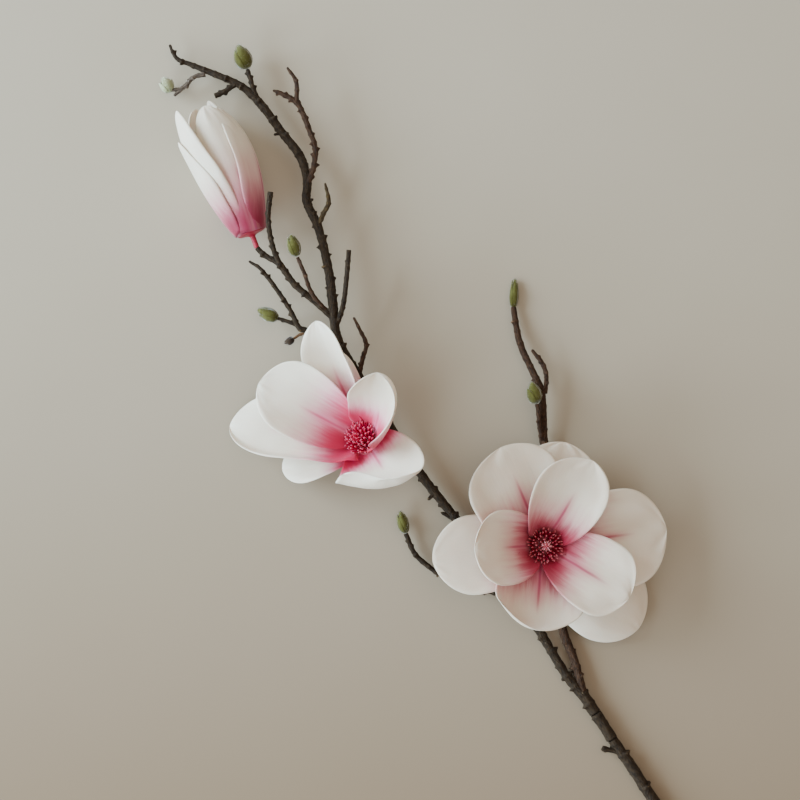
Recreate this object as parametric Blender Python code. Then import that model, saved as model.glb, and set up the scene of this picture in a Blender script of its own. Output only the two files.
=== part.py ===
"""Artificial magnolia spray lying on a table: a forked stem with twigs, buds and three flowers.

Every design number is in millimetres. x runs across the table, y towards the crown of the spray, z up
from the table. Routes and seats are drawn about a point between the flowers. PLACE moves that point, so
that the finished spray has its origin on the table below its middle.
"""

from math import cos, pi, radians, sin

import bmesh
import bpy
from mathutils import Matrix, Quaternion, Vector

MM = 0.001
PLACE = Vector((-25.5, 44.3, 0.0))

GAP = 0.35
BARK_SIDES = 8
ROUTE_STEPS = 2
BUD_SIDES = 8
PETAL_THICKNESS = 1.3
SHARP_ANGLE = 40
PETAL_COLUMNS = 6
PETAL_ROWS = (0.0, 0.1, 0.25, 0.42, 0.6, 0.77, 0.9, 1.0)
# A petal's outline past its widest place: its end width, how late it narrows, and how round it ends.
BLUNT_TIP = 0.14
TIP_FULLNESS = 2.4
TIP_ROUNDNESS = 0.6
# The most that half a petal may bend, in radians, and the least radius that it bends round.
CUP_LIMIT = 1.35
LEAST_BEND_RADIUS = 4.0
WALK_STEPS = 60
# A petal's foot as a share of its greatest width, and how far along it is widest.
OPEN_OUTLINE = (0.22, 0.6)
CLOSED_OUTLINE = (0.32, 0.45)

# Branch routes: x, y, z and diameter at each point, from the root end to the tip.
LOWER_STEM = [(191, -298, 3.5, 7.0), (152, -240, 3.8, 6.3), (139, -220, 4.1, 6.2), (127, -203, 4.2, 5.8)]
LOWER_STUB = [(131, -210, 4.4, 3.0), (125, -209, 5.0, 2.8), (121, -208, 5.4, 3.2)]
STEM_SLEEVE = [(126.6, -202.3, 4.2, 6.6), (122, -195, 4.2, 6.2), (117, -187.5, 4.3, 6.8)]
LEFT_STEM = [
    (116.4, -186.7, 4.3, 6.6), (110, -177, 4.4, 6.2), (99, -164, 4.2, 5.2), (80, -133, 4.0, 5.0),
    (54, -97, 4.4, 4.9), (31, -68, 5.6, 5.0), (13, -45, 7.0, 5.2), (2, -28, 8.4, 4.8), (-8, -12, 9.6, 4.4),
]
UPPER_STEM = [
    (-8.4, -11.3, 9.7, 4.6), (-25, 16, 11.4, 4.0), (-37, 37, 14.0, 5.0), (-40, 59, 16.5, 5.4),
    (-42, 76, 17.5, 5.0), (-48, 101, 17.5, 4.8), (-55, 117, 16.5, 4.9), (-55, 130, 15.5, 4.7),
    (-59, 144, 14.5, 4.8), (-71, 160, 12.5, 4.6), (-83, 176, 11.0, 4.8), (-95, 187, 9.8, 4.0),
    (-113, 195, 8.6, 3.5), (-125, 200, 7.8, 2.8), (-133, 203.5, 7.3, 2.4), (-137, 211, 7.0, 1.6),
]
RIGHT_STEM = [
    (109, -174, 4.4, 5.0), (104, -155, 4.0, 4.8), (97, -136, 3.2, 4.8), (94, -110, 2.7, 4.7),
    (92, -87, 2.6, 4.7), (89, -56, 3.4, 4.6), (86, -27, 6.0, 4.6), (85, -6, 8.0, 4.3), (84, 6, 8.0, 4.1),
    (79, 17, 7.4, 3.8), (73, 30, 6.4, 3.8), (70, 41, 4.6, 3.6), (68, 54.5, 3.1, 3.2),
]
RIGHT_STEM_TWIG = [(86, 4, 8.2, 2.6), (87, 13, 9.6, 2.5), (85, 21, 10.4, 2.5), (79, 29, 10.6, 1.9)]
FIFTH_BUD_TWIG = [(85, -25, 6.4, 2.8), (83, -16, 10.2, 2.6), (82, -6, 12.0, 2.5), (81, -2.6, 12.4, 2.3)]
CROWN_LEFT_TWIG = [
    (-116, 194, 8.5, 2.4), (-123, 192, 8.6, 2.5), (-129, 186, 8.2, 2.3), (-136, 184.5, 7.6, 1.8),
]
CROWN_LEFT_STUB = [(-129, 186, 8.2, 2.0), (-134, 182, 7.0, 1.8)]
CROWN_STUB_TWIG = [(-98, 188, 9.6, 2.8), (-105, 183, 9.6, 2.8), (-110, 181, 9.2, 3.2)]
CROWN_BUD_TWIG = [(-85, 179, 10.8, 2.6), (-88, 188, 11.6, 2.7), (-90.5, 196, 12.0, 2.3)]
UPPER_TWIG = [
    (-55, 127, 16.0, 2.9), (-51, 137, 18.5, 3.0), (-50, 148, 20.0, 3.0), (-53, 158, 20.5, 2.9),
    (-60, 174, 20.5, 3.0), (-69, 180, 20.5, 2.7), (-74, 182, 20.5, 1.6),
]
UPPER_TWIG_FORK = [(-61, 176, 20.5, 2.5), (-61, 187, 21.5, 2.4), (-66, 195, 22.0, 1.4)]
GOLDEN_TWIG = [(-49, 102, 17.6, 2.6), (-45, 110, 19.5, 2.6), (-42, 117, 20.5, 2.4), (-44, 127, 21.5, 1.3)]
CLOSED_FLOWER_TWIG = [
    (-39, 48, 15.2, 3.6), (-50, 58, 17.5, 3.7), (-62, 68, 19.2, 3.6), (-71, 80, 20.0, 3.6),
    (-77, 83.6, 19.6, 3.1), (-81.4, 86.6, 18.9, 3.0), (-84.2, 89.6, 18.7, 3.0),
]
CLOSED_TWIG_ARM = [
    (-71, 80, 20.2, 3.0), (-75, 91, 24.0, 2.8), (-77, 106, 30.0, 2.8), (-75.5, 121, 33.0, 3.2),
]
SECOND_BUD_TWIG = [(-44, 53, 16.4, 2.4), (-52, 63, 22.0, 2.3), (-56, 74, 26.5, 2.2), (-60, 83.4, 27.5, 2.0)]
SIDE_TWIG = [
    (-29, 22, 12.0, 3.0), (-40, 32, 11.6, 3.0), (-55, 41, 12.0, 3.1), (-60, 43, 12.0, 3.0),
    (-65, 53, 12.6, 2.6), (-72, 64, 13.0, 2.5), (-82, 77, 13.0, 2.2), (-89, 82, 12.6, 1.4),
]
THIRD_BUD_STALK = [(-60, 44, 12.0, 2.2), (-66, 46.4, 11.6, 2.2), (-72.4, 48.4, 11.2, 2.0)]
DARK_BUD_STALK = [(-46, 36, 12.8, 1.5), (-57, 39.5, 9.4, 1.5), (-63.2, 36.6, 8.6, 1.4)]
TALL_RIGHT_TWIG = [(-38, 43, 14.8, 2.7), (-34, 54, 18.5, 2.8), (-32, 66, 22.0, 2.7), (-30, 88, 23.5, 2.6)]
SMALL_RIGHT_TWIG = [
    (-24.4, 15, 11.3, 2.6), (-22, 25, 15.0, 2.4), (-20, 33, 17.5, 2.3), (-24, 42, 19.5, 1.9),
    (-27, 48, 20.5, 1.4),
]
SIXTH_BUD_TWIG = [
    (69, -118, 4.3, 2.8), (48, -113, 3.6, 2.8), (28, -106, 3.2, 2.8), (19, -101, 3.6, 2.8),
    (9, -92, 4.4, 2.8), (3.5, -80, 5.2, 2.6),
]

# Buds: foot of the bud, its tip, and its width.
TOP_BUD = ((-91.2, 197.6, 12.1), (-96, 211, 13.0), 10.6)
CURLED_BUD = ((-137.4, 184.6, 7.4), (-141.2, 192.6, 6.6), 7.6)
SECOND_BUD = ((-60.8, 85.2, 27.6), (-64, 97, 28.0), 7.6)
THIRD_BUD = ((-73.6, 48.8, 11.1), (-85, 54, 10.6), 8.0)
RIGHT_TIP_BUD = ((67.9, 56.0, 3.0), (69, 73, 2.0), 5.0)
FIFTH_BUD = ((80.6, -1.0, 12.6), (78, 11, 13.2), 8.8)
SIXTH_BUD = ((3.0, -78.4, 5.3), (0, -66, 5.8), 6.6)
DARK_BUD = ((-64.4, 36.0, 8.5), (-69, 33.4, 8.0), 4.6)
# A bud's shape: shares of its half width and of its length.
BUD_PROFILE = ((0.0, 0.0), (0.42, 0.03), (0.82, 0.2), (1.0, 0.42), (0.84, 0.68), (0.46, 0.9), (0.0, 1.0))

# Flowers: seat of the petals, axis of the flower, and the stalk that carries it.
LARGE_SEAT = Vector((84.5, -86.0, 17.0))
LARGE_AXIS = Vector((0.12, 0.05, 1.0)).normalized()
LARGE_STALK_FOOT = (92, -87, 3.0)
MIDDLE_SEAT = Vector((-20.5, -24.5, 26.0))
MIDDLE_AXIS = Vector((-0.55, 0.25, 0.80)).normalized()
MIDDLE_STALK_FOOT = (2.5, -29, 8.4)
CLOSED_SEAT = Vector((-87.8, 99.0, 18.7))
CLOSED_AXIS = Vector((-0.349, 0.937, 0.0)).normalized()

# Petals: name, whorl, azimuth, length, width, rise at foot, middle and tip, cup, skew, sweep, twist.
# Angles are in degrees. Skew makes the side at greater azimuth wider. Sweep turns the tip about the
# flower's axis, and twist turns it about the petal's own midrib.
INNER, MIDDLE, OUTER = 0, 1, 2
OPEN_WHORLS = {INNER: (8.0, 0.8), MIDDLE: (8.8, -1.2), OUTER: (9.6, -3.2)}
LARGE_PETALS = [
    ("upper_inner", INNER, 66, 59, 46, (62, 34, 22), 0.22, 0.14, 0, 0),
    ("left_inner", INNER, 181, 46, 46, (54, 34, 20), 0.2, 0.0, 0, 0),
    ("lower_right_inner", INNER, -33, 53, 46, (50, 22, 8), 0.22, 0.05, 0, 0),
    ("upper_left_middle", MIDDLE, 116, 59, 58, (42, 15, 6), 0.2, 0.08, 0, 0),
    ("lower_middle", MIDDLE, -98, 46, 58, (36, 14, 66), 0.3, -0.05, 0, 0),
    ("right_middle", MIDDLE, 8, 66, 58, (38, 8, 2), 0.2, -0.05, 0, 0),
    ("top_outer", OUTER, 79, 54, 47, (26, 10, -4), 0.15, 0.0, 0, 0),
    ("left_outer", OUTER, 187, 58, 47, (22, 4, -6), 0.1, 0.0, 0, 0),
    ("lower_right_outer", OUTER, -40, 69, 57, (20, -4, -20), 0.15, 0.05, 0, 0),
]
MIDDLE_PETALS = [
    ("upper_left_inner", INNER, 144, 65, 47, (58, 42, 34), 0.25, -0.13, 0, 0),
    ("right_inner", INNER, 24, 47, 33, (46, 44, 44), 0.3, 0.1, 18, 66),
    ("top_middle", MIDDLE, 98, 70, 31, (48, 33, 28), 0.35, 0.12, 0, 0),
    ("far_left_middle", MIDDLE, 169, 78, 43, (38, 22, 8), 0.25, -0.06, 0, 0),
    ("lower_right_middle", MIDDLE, -53, 48, 55, (14, 18, 66), 0.25, -0.05, 0, -45),
    ("top_outer", OUTER, 101, 50, 22, (34, 26, 24), 0.15, 0.0, 0, 0),
    ("lower_left_outer", OUTER, 190, 48, 28, (26, 10, 2), 0.15, 0.0, 0, 0),
]
FIRST_FOLD, SECOND_FOLD, THIRD_FOLD = 3, 4, 5
CLOSED_WHORLS = {
    INNER: (4.0, 0.6), THIRD_FOLD: (6.0, 0.0), SECOND_FOLD: (7.8, 0.0), FIRST_FOLD: (9.6, 0.0),
}
CLOSED_RISE = (62, 84, 118)
CLOSED_PETALS = [
    ("right_outer", FIRST_FOLD, -2, 86, 44, CLOSED_RISE, 0.0, 0.0, 0, 0),
    ("front_outer", SECOND_FOLD, -72, 86, 38, CLOSED_RISE, 0.0, 0.0, 0, 0),
    ("left_outer", THIRD_FOLD, 178, 86, 42, CLOSED_RISE, 0.0, 0.0, 0, 0),
    ("left_inner", INNER, -150, 83, 26, CLOSED_RISE, 0.0, 0.0, 0, 0),
    ("right_inner", INNER, -30, 84, 26, CLOSED_RISE, 0.0, 0.0, 0, 0),
    ("back_inner", INNER, 90, 82, 26, CLOSED_RISE, 0.0, 0.0, 0, 0),
]

# Hearts of the open flowers: radius and height above the seat, up the flower's axis.
RECEPTACLE = [(2.0, -5.5), (5.6, -3.6), (6.2, 0.0), (5.8, 2.6)]
STAMENS = [(2.8, 3.0), (6.0, 3.0), (8.6, 6.0), (10.8, 10.0), (7.4, 11.8), (3.6, 10.8), (2.8, 7.0)]
PISTIL = [(0.0, 3.0), (2.2, 3.2), (2.1, 8.0), (2.9, 12.2), (1.4, 14.0), (0.0, 14.2)]
CLOSED_PEG = [
    (0.0, -9.6), (1.3, -9.6), (1.5, -3.2), (8.4, -2.2), (9.0, -1.1), (3.0, -0.9), (2.5, 1.6), (0.0, 2.2),
]
HEART_SIDES = 12
# Stalk of an open flower: its widths, how far below the seat it joins the heart, and how far it sags.
STALK_WIDTH = 3.6
NECK_WIDTH = 4.0
NECK_DEPTH = 4.6
STALK_SAG = 1.0

BARK = ((0.075, 0.050, 0.032), 0.75)
DARK_BARK = ((0.050, 0.030, 0.018), 0.6)
CRIMSON = ((0.52, 0.03, 0.12), 0.5)
PETAL_WHITE = ((0.80, 0.76, 0.72), 0.45)
BUD_GREEN = ((0.24, 0.26, 0.08), 0.9)
STAMEN_RED = ((0.22, 0.01, 0.05), 0.6)
PISTIL_PINK = ((0.75, 0.35, 0.42), 0.5)


def clear_scene():
    for thing in list(bpy.data.objects):
        bpy.data.objects.remove(thing, do_unlink=True)


def add_piece(name, bm, finish):
    """Turns a bmesh in millimetres into a named object with its own material."""
    bmesh.ops.recalc_face_normals(bm, faces=bm.faces)
    bmesh.ops.translate(bm, verts=bm.verts, vec=PLACE)
    bmesh.ops.scale(bm, verts=bm.verts, vec=(MM, MM, MM))
    mesh = bpy.data.meshes.new(name)
    bm.to_mesh(mesh)
    bm.free()
    mesh.shade_smooth()
    mesh.set_sharp_from_angle(angle=radians(SHARP_ANGLE))
    colour, roughness = finish
    material = bpy.data.materials.new(name)
    material.use_nodes = True
    shader = material.node_tree.nodes["Principled BSDF"]
    shader.inputs["Base Color"].default_value = (*colour, 1.0)
    shader.inputs["Roughness"].default_value = roughness
    shader.inputs["Metallic"].default_value = 0.0
    mesh.materials.append(material)
    piece = bpy.data.objects.new(name, mesh)
    bpy.context.scene.collection.objects.link(piece)
    return piece


def catmull(a, b, c, d, t):
    """The point at t between b and c on the smooth curve through four points."""
    bow = 2 * a - 5 * b + 4 * c - d
    turn = 3 * b - a - 3 * c + d
    return 0.5 * (2 * b + (c - a) * t + bow * t ** 2 + turn * t ** 3)


def smooth_route(route, steps):
    """Stations along a smooth curve through the route's points: each is a place and a diameter."""
    points = [Vector(point) for point in route]
    padded = [2 * points[0] - points[1], *points, 2 * points[-1] - points[-2]]
    stations = []
    for i in range(len(points) - 1):
        for k in range(steps):
            stations.append(catmull(*padded[i : i + 4], k / steps))
    stations.append(points[-1])
    return [(station.to_3d(), station[3]) for station in stations]


def tube_mesh(route, grow=0.0, steps=ROUTE_STEPS, sides=BARK_SIDES):
    """A closed round bar along a route, thicker by grow all round."""
    stations = smooth_route(route, steps)
    places = [place for place, _ in stations]
    tangents = []
    for i in range(len(places)):
        tangents.append((places[min(i + 1, len(places) - 1)] - places[max(i - 1, 0)]).normalized())
    side = tangents[0].orthogonal().normalized()
    bm = bmesh.new()
    rings = []
    for i, (place, diameter) in enumerate(stations):
        if i:
            side = tangents[i - 1].rotation_difference(tangents[i]) @ side
        radius = diameter / 2 + grow
        ring = []
        for k in range(sides):
            out = Quaternion(tangents[i], 2 * pi * k / sides) @ side
            ring.append(bm.verts.new(place + radius * out))
        rings.append(ring)
    for low, high in zip(rings, rings[1:]):
        for k in range(sides):
            bm.faces.new((low[k], low[(k + 1) % sides], high[(k + 1) % sides], high[k]))
    bm.faces.new(reversed(rings[0]))
    bm.faces.new(rings[-1])
    return bm


def hidden_tool(name, bm):
    """A helper body for a Boolean, which is no part of the spray."""
    tool = add_piece(name, bm, BARK)
    tool.hide_render = True
    tool.display_type = "WIRE"
    return tool


def combine(piece, tool, operation):
    step = piece.modifiers.new(tool.name, "BOOLEAN")
    step.operation = operation
    step.object = tool
    step.solver = "EXACT"


def branch(name, route, finish=BARK, fork=None, against=None):
    """A moulded branch piece, with an arm moulded on, and its foot cut to sit against its parent."""
    piece = add_piece(name, tube_mesh(route), finish)
    if fork:
        combine(piece, hidden_tool(name + "_arm", tube_mesh(fork)), "UNION")
    if against:
        combine(piece, hidden_tool(name + "_saddle", tube_mesh(against, GAP)), "DIFFERENCE")
    return piece


def turned_mesh(profile, seat, axis, sides):
    """A turned body from (radius, height) points. A profile clear of the axis makes a closed ring."""
    turn = axis.to_track_quat("Z", "Y").to_matrix().to_4x4()
    bm = bmesh.new()
    rings = []
    for radius, height in profile:
        count = 1 if radius == 0 else sides
        ring = []
        for k in range(count):
            angle = 2 * pi * k / sides
            ring.append(bm.verts.new((radius * cos(angle), radius * sin(angle), height)))
        rings.append(ring)
    pairs = list(zip(rings, rings[1:]))
    closes_on_axis = profile[0][0] == 0
    if not closes_on_axis:
        pairs.append((rings[-1], rings[0]))
    for low, high in pairs:
        for k in range(sides):
            sides_of_face = ((low, k), (low, k + 1), (high, k + 1), (high, k))
            corners = [ring[at % len(ring)] for ring, at in sides_of_face]
            bm.faces.new(list(dict.fromkeys(corners)))
    bmesh.ops.transform(bm, verts=bm.verts, matrix=Matrix.Translation(seat) @ turn)
    return bm


def bud(name, foot_tip_width, finish):
    """A closed egg shape, widest a little below its middle, from its foot to its tip."""
    foot, tip, width = foot_tip_width
    foot = Vector(foot)
    along = Vector(tip) - foot
    profile = [(share * width / 2, up * along.length) for share, up in BUD_PROFILE]
    return add_piece(name, turned_mesh(profile, foot, along.normalized(), BUD_SIDES), finish)


def flower_axes(axis):
    """Directions of azimuth 0 and 90 degrees round a flower's axis."""
    right = Vector((1.0, 0.0, 0.0))
    zero = (right - right.dot(axis) * axis).normalized()
    return zero, axis.cross(zero)


def outline(s, base, belly):
    """A petal's half width at s of its length, as a share of its greatest half width."""
    if s < belly:
        return base + (1 - base) * sin(pi / 2 * s / belly)
    share = (s - belly) / (1 - belly)
    return max(BLUNT_TIP, (1 - share ** TIP_FULLNESS) ** TIP_ROUNDNESS)


def rise_at(rise, s):
    """The petal's slope in radians at s, through its values at the foot, the middle and the tip."""
    foot, middle, tip = (radians(value) for value in rise)
    return foot * (2 * s - 1) * (s - 1) + middle * 4 * s * (1 - s) + tip * s * (2 * s - 1)


def midrib(start, length, rise, s):
    """Distance from the flower's axis, and height above its seat, at s along a petal."""
    radius, height = start
    step = s * length / WALK_STEPS
    for k in range(WALK_STEPS):
        slope = rise_at(rise, s * (k + 0.5) / WALK_STEPS)
        radius += step * cos(slope)
        height += step * sin(slope)
    return radius, height


def petal_point(seat, axis, start, shape, s, t):
    """A point of the petal's middle surface, at s along and t across it, and the normal there."""
    azimuth, length, width, rise, cup, skew, sweep, twist, base, belly = shape
    zero, ninety = flower_axes(axis)
    turn = radians(azimuth + sweep * s * s)
    outward = cos(turn) * zero + sin(turn) * ninety
    across = axis.cross(outward)
    radius, height = midrib(start, length, rise, s)
    slope = rise_at(rise, s)
    normal = cos(slope) * axis - sin(slope) * outward
    along = cos(slope) * outward + sin(slope) * axis
    about_midrib = Quaternion(along, radians(twist) * s)
    across = about_midrib @ across
    normal = about_midrib @ normal
    reach = t * outline(s, base, belly) * width / 2 * (1 + skew * t)
    bend = reach * sin(slope) / max(radius, LEAST_BEND_RADIUS) + cup * reach / (width / 2)
    bend = max(-CUP_LIMIT, min(CUP_LIMIT, bend))
    if abs(bend) < 0.001:
        sideways, lift = reach, 0.0
    else:
        sideways = reach / bend * sin(bend)
        lift = reach / bend * (1 - cos(bend))
    place = seat + radius * outward + height * axis + sideways * across + lift * normal
    facing = cos(bend) * normal - sin(bend) * across
    return place, facing


def petal(name, seat, axis, start, shape):
    """A thin closed cupped petal, from its straight cut foot to its rounded tip."""
    bm = bmesh.new()
    upper, under = [], []
    for s in PETAL_ROWS:
        upper_row, under_row = [], []
        for k in range(PETAL_COLUMNS + 1):
            t = 2 * k / PETAL_COLUMNS - 1
            place, facing = petal_point(seat, axis, start, shape, s, t)
            upper_row.append(bm.verts.new(place + facing * PETAL_THICKNESS / 2))
            under_row.append(bm.verts.new(place - facing * PETAL_THICKNESS / 2))
        upper.append(upper_row)
        under.append(under_row)
    for i in range(len(PETAL_ROWS) - 1):
        for k in range(PETAL_COLUMNS):
            bm.faces.new((upper[i][k], upper[i + 1][k], upper[i + 1][k + 1], upper[i][k + 1]))
            bm.faces.new((under[i][k], under[i][k + 1], under[i + 1][k + 1], under[i + 1][k]))
        bm.faces.new((upper[i][0], under[i][0], under[i + 1][0], upper[i + 1][0]))
        bm.faces.new((upper[i][-1], upper[i + 1][-1], under[i + 1][-1], under[i][-1]))
    for k in range(PETAL_COLUMNS):
        bm.faces.new((upper[0][k], upper[0][k + 1], under[0][k + 1], under[0][k]))
        bm.faces.new((upper[-1][k], under[-1][k], under[-1][k + 1], upper[-1][k + 1]))
    return add_piece(name, bm, PETAL_WHITE)


def petals(prefix, seat, axis, whorls, rows, outline_habit):
    for name, whorl, *shape in rows:
        petal(f"{prefix}_petal_{name}", seat, axis, whorls[whorl], (*shape, *outline_habit))


def receptacle(name, seat, axis, stalk_foot, parent):
    """The flower's solid heart on its stalk, which plugs against the stem."""
    head = [(0.0, RECEPTACLE[0][1]), *RECEPTACLE, (0.0, RECEPTACLE[-1][1])]
    piece = add_piece(name, turned_mesh(head, seat, axis, HEART_SIDES), CRIMSON)
    neck = seat - NECK_DEPTH * axis
    middle = (Vector(stalk_foot) + neck) / 2 - STALK_SAG * axis
    stalk = [(*stalk_foot, STALK_WIDTH), (*middle, STALK_WIDTH), (*neck, NECK_WIDTH)]
    combine(piece, hidden_tool(name + "_stalk", tube_mesh(stalk)), "UNION")
    combine(piece, hidden_tool(name + "_saddle", tube_mesh(parent, GAP)), "DIFFERENCE")
    return piece


def open_flower(prefix, seat, axis, rows, stalk_foot, parent):
    receptacle(prefix + "_receptacle", seat, axis, stalk_foot, parent)
    petals(prefix, seat, axis, OPEN_WHORLS, rows, OPEN_OUTLINE)
    add_piece(prefix + "_stamens", turned_mesh(STAMENS, seat, axis, HEART_SIDES), STAMEN_RED)
    add_piece(prefix + "_pistil", turned_mesh(PISTIL, seat, axis, BUD_SIDES), PISTIL_PINK)


def closed_flower():
    """Six petals folded round each other on a crimson peg that plugs onto its twig."""
    petals("closed_flower", CLOSED_SEAT, CLOSED_AXIS, CLOSED_WHORLS, CLOSED_PETALS, CLOSED_OUTLINE)
    add_piece("closed_flower_peg", turned_mesh(CLOSED_PEG, CLOSED_SEAT, CLOSED_AXIS, HEART_SIDES), CRIMSON)


def stems():
    branch("lower_stem", LOWER_STEM, fork=LOWER_STUB)
    branch("stem_sleeve", STEM_SLEEVE)
    branch("left_stem", LEFT_STEM)
    branch("upper_stem", UPPER_STEM)
    branch("right_stem", RIGHT_STEM, against=LEFT_STEM)


def twigs():
    branch("right_stem_twig", RIGHT_STEM_TWIG, against=RIGHT_STEM)
    branch("fifth_bud_twig", FIFTH_BUD_TWIG, against=RIGHT_STEM)
    branch("sixth_bud_twig", SIXTH_BUD_TWIG, against=LEFT_STEM)
    branch("crown_left_twig", CROWN_LEFT_TWIG, fork=CROWN_LEFT_STUB, against=UPPER_STEM)
    branch("crown_stub_twig", CROWN_STUB_TWIG, against=UPPER_STEM)
    branch("crown_bud_twig", CROWN_BUD_TWIG, against=UPPER_STEM)
    branch("upper_twig", UPPER_TWIG, fork=UPPER_TWIG_FORK, against=UPPER_STEM)
    branch("golden_twig", GOLDEN_TWIG, against=UPPER_STEM)
    branch("closed_flower_twig", CLOSED_FLOWER_TWIG, fork=CLOSED_TWIG_ARM, against=UPPER_STEM)
    branch("second_bud_twig", SECOND_BUD_TWIG, against=CLOSED_FLOWER_TWIG)
    branch("side_twig", SIDE_TWIG, against=UPPER_STEM)
    branch("third_bud_stalk", THIRD_BUD_STALK, against=SIDE_TWIG)
    branch("dark_bud_stalk", DARK_BUD_STALK, DARK_BARK, against=SIDE_TWIG)
    branch("tall_right_twig", TALL_RIGHT_TWIG, against=UPPER_STEM)
    branch("small_right_twig", SMALL_RIGHT_TWIG, against=UPPER_STEM)


def buds():
    bud("top_bud", TOP_BUD, BUD_GREEN)
    bud("curled_bud", CURLED_BUD, BUD_GREEN)
    bud("second_bud", SECOND_BUD, BUD_GREEN)
    bud("third_bud", THIRD_BUD, BUD_GREEN)
    bud("right_tip_bud", RIGHT_TIP_BUD, BUD_GREEN)
    bud("fifth_bud", FIFTH_BUD, BUD_GREEN)
    bud("sixth_bud", SIXTH_BUD, BUD_GREEN)
    bud("dark_bud", DARK_BUD, DARK_BARK)


clear_scene()
stems()
twigs()
buds()
open_flower("large_flower", LARGE_SEAT, LARGE_AXIS, LARGE_PETALS, LARGE_STALK_FOOT, RIGHT_STEM)
open_flower("middle_flower", MIDDLE_SEAT, MIDDLE_AXIS, MIDDLE_PETALS, MIDDLE_STALK_FOOT, LEFT_STEM)
closed_flower()
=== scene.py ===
"""A long artificial magnolia spray on a pale table: twigs, downy buds, two open flowers and a closed one.

Every design number is in millimetres, about a point between the flowers. PLACE moves it into the frame.
"""

import random
from math import cos, exp, pi, radians, sin

import bpy
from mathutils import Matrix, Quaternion, Vector, noise


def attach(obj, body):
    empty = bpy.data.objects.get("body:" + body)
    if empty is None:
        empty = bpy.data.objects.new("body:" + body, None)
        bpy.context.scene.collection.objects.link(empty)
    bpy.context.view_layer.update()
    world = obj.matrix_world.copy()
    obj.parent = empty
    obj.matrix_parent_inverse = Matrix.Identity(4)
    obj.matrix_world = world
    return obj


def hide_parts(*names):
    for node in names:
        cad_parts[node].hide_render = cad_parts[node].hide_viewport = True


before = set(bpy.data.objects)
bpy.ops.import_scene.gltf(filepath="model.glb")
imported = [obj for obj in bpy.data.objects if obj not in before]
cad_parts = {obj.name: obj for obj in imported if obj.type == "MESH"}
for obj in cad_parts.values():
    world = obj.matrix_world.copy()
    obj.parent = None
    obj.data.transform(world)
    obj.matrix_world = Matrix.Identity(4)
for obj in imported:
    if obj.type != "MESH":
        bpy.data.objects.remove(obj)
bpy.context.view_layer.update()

MM = 0.001
PLACE = Vector((-25.5, 44.3, 0.0))

# Branch routes: x, y, z and diameter at each point, from the root end to the tip.
LOWER_STEM = [(191, -298, 3.5, 7.0), (152, -240, 3.8, 6.3), (139, -220, 4.1, 6.2), (127, -203, 4.2, 5.8)]
LOWER_STUB = [(131, -210, 4.4, 3.0), (125, -209, 5.0, 2.8), (121, -208, 5.4, 3.2)]
STEM_SLEEVE = [(126.6, -202.3, 4.2, 6.6), (122, -195, 4.2, 6.2), (117, -187.5, 4.3, 6.8)]
LEFT_STEM = [
    (116.4, -186.7, 4.3, 6.6), (110, -177, 4.4, 6.2), (99, -164, 4.2, 5.2), (80, -133, 4.0, 5.0),
    (54, -97, 4.4, 4.9), (31, -68, 5.6, 5.0), (13, -45, 7.0, 5.2), (2, -28, 8.4, 4.8), (-8, -12, 9.6, 4.4),
]
UPPER_STEM = [
    (-8.4, -11.3, 9.7, 4.6), (-25, 16, 11.4, 4.0), (-37, 37, 14.0, 5.0), (-40, 59, 16.5, 5.4),
    (-42, 76, 17.5, 5.0), (-48, 101, 17.5, 4.8), (-55, 117, 16.5, 4.9), (-55, 130, 15.5, 4.7),
    (-59, 144, 14.5, 4.8), (-71, 160, 12.5, 4.6), (-83, 176, 11.0, 4.8), (-95, 187, 9.8, 4.0),
    (-113, 195, 8.6, 3.5), (-125, 200, 7.8, 2.8), (-133, 203.5, 7.3, 2.4), (-137, 211, 7.0, 1.6),
]
RIGHT_STEM = [
    (109, -174, 4.4, 5.0), (104, -155, 4.0, 4.8), (97, -136, 3.2, 4.8), (94, -110, 2.7, 4.7),
    (92, -87, 2.6, 4.7), (89, -56, 3.4, 4.6), (86, -27, 6.0, 4.6), (85, -6, 8.0, 4.3), (84, 6, 8.0, 4.1),
    (79, 17, 7.4, 3.8), (73, 30, 6.4, 3.8), (70, 41, 4.6, 3.6), (68, 54.5, 3.1, 3.2),
]
RIGHT_STEM_TWIG = [(86, 4, 8.2, 2.6), (87, 13, 9.6, 2.5), (85, 21, 10.4, 2.5), (79, 29, 10.6, 1.9)]
FIFTH_BUD_TWIG = [(85, -25, 6.4, 2.8), (83, -16, 10.2, 2.6), (82, -6, 12.0, 2.5), (81, -2.6, 12.4, 2.3)]
CROWN_LEFT_TWIG = [
    (-116, 194, 8.5, 2.4), (-123, 192, 8.6, 2.5), (-129, 186, 8.2, 2.3), (-136, 184.5, 7.6, 1.8),
]
CROWN_LEFT_STUB = [(-129, 186, 8.2, 2.0), (-134, 182, 7.0, 1.8)]
CROWN_STUB_TWIG = [(-98, 188, 9.6, 2.8), (-105, 183, 9.6, 2.8), (-110, 181, 9.2, 3.2)]
CROWN_BUD_TWIG = [(-85, 179, 10.8, 2.6), (-88, 188, 11.6, 2.7), (-90.5, 196, 12.0, 2.3)]
UPPER_TWIG = [
    (-55, 127, 16.0, 2.9), (-51, 137, 18.5, 3.0), (-50, 148, 20.0, 3.0), (-53, 158, 20.5, 2.9),
    (-60, 174, 20.5, 3.0), (-69, 180, 20.5, 2.7), (-74, 182, 20.5, 1.6),
]
UPPER_TWIG_FORK = [(-61, 176, 20.5, 2.5), (-61, 187, 21.5, 2.4), (-66, 195, 22.0, 1.4)]
GOLDEN_TWIG = [(-49, 102, 17.6, 2.6), (-45, 110, 19.5, 2.6), (-42, 117, 20.5, 2.4), (-44, 127, 21.5, 1.3)]
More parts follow.
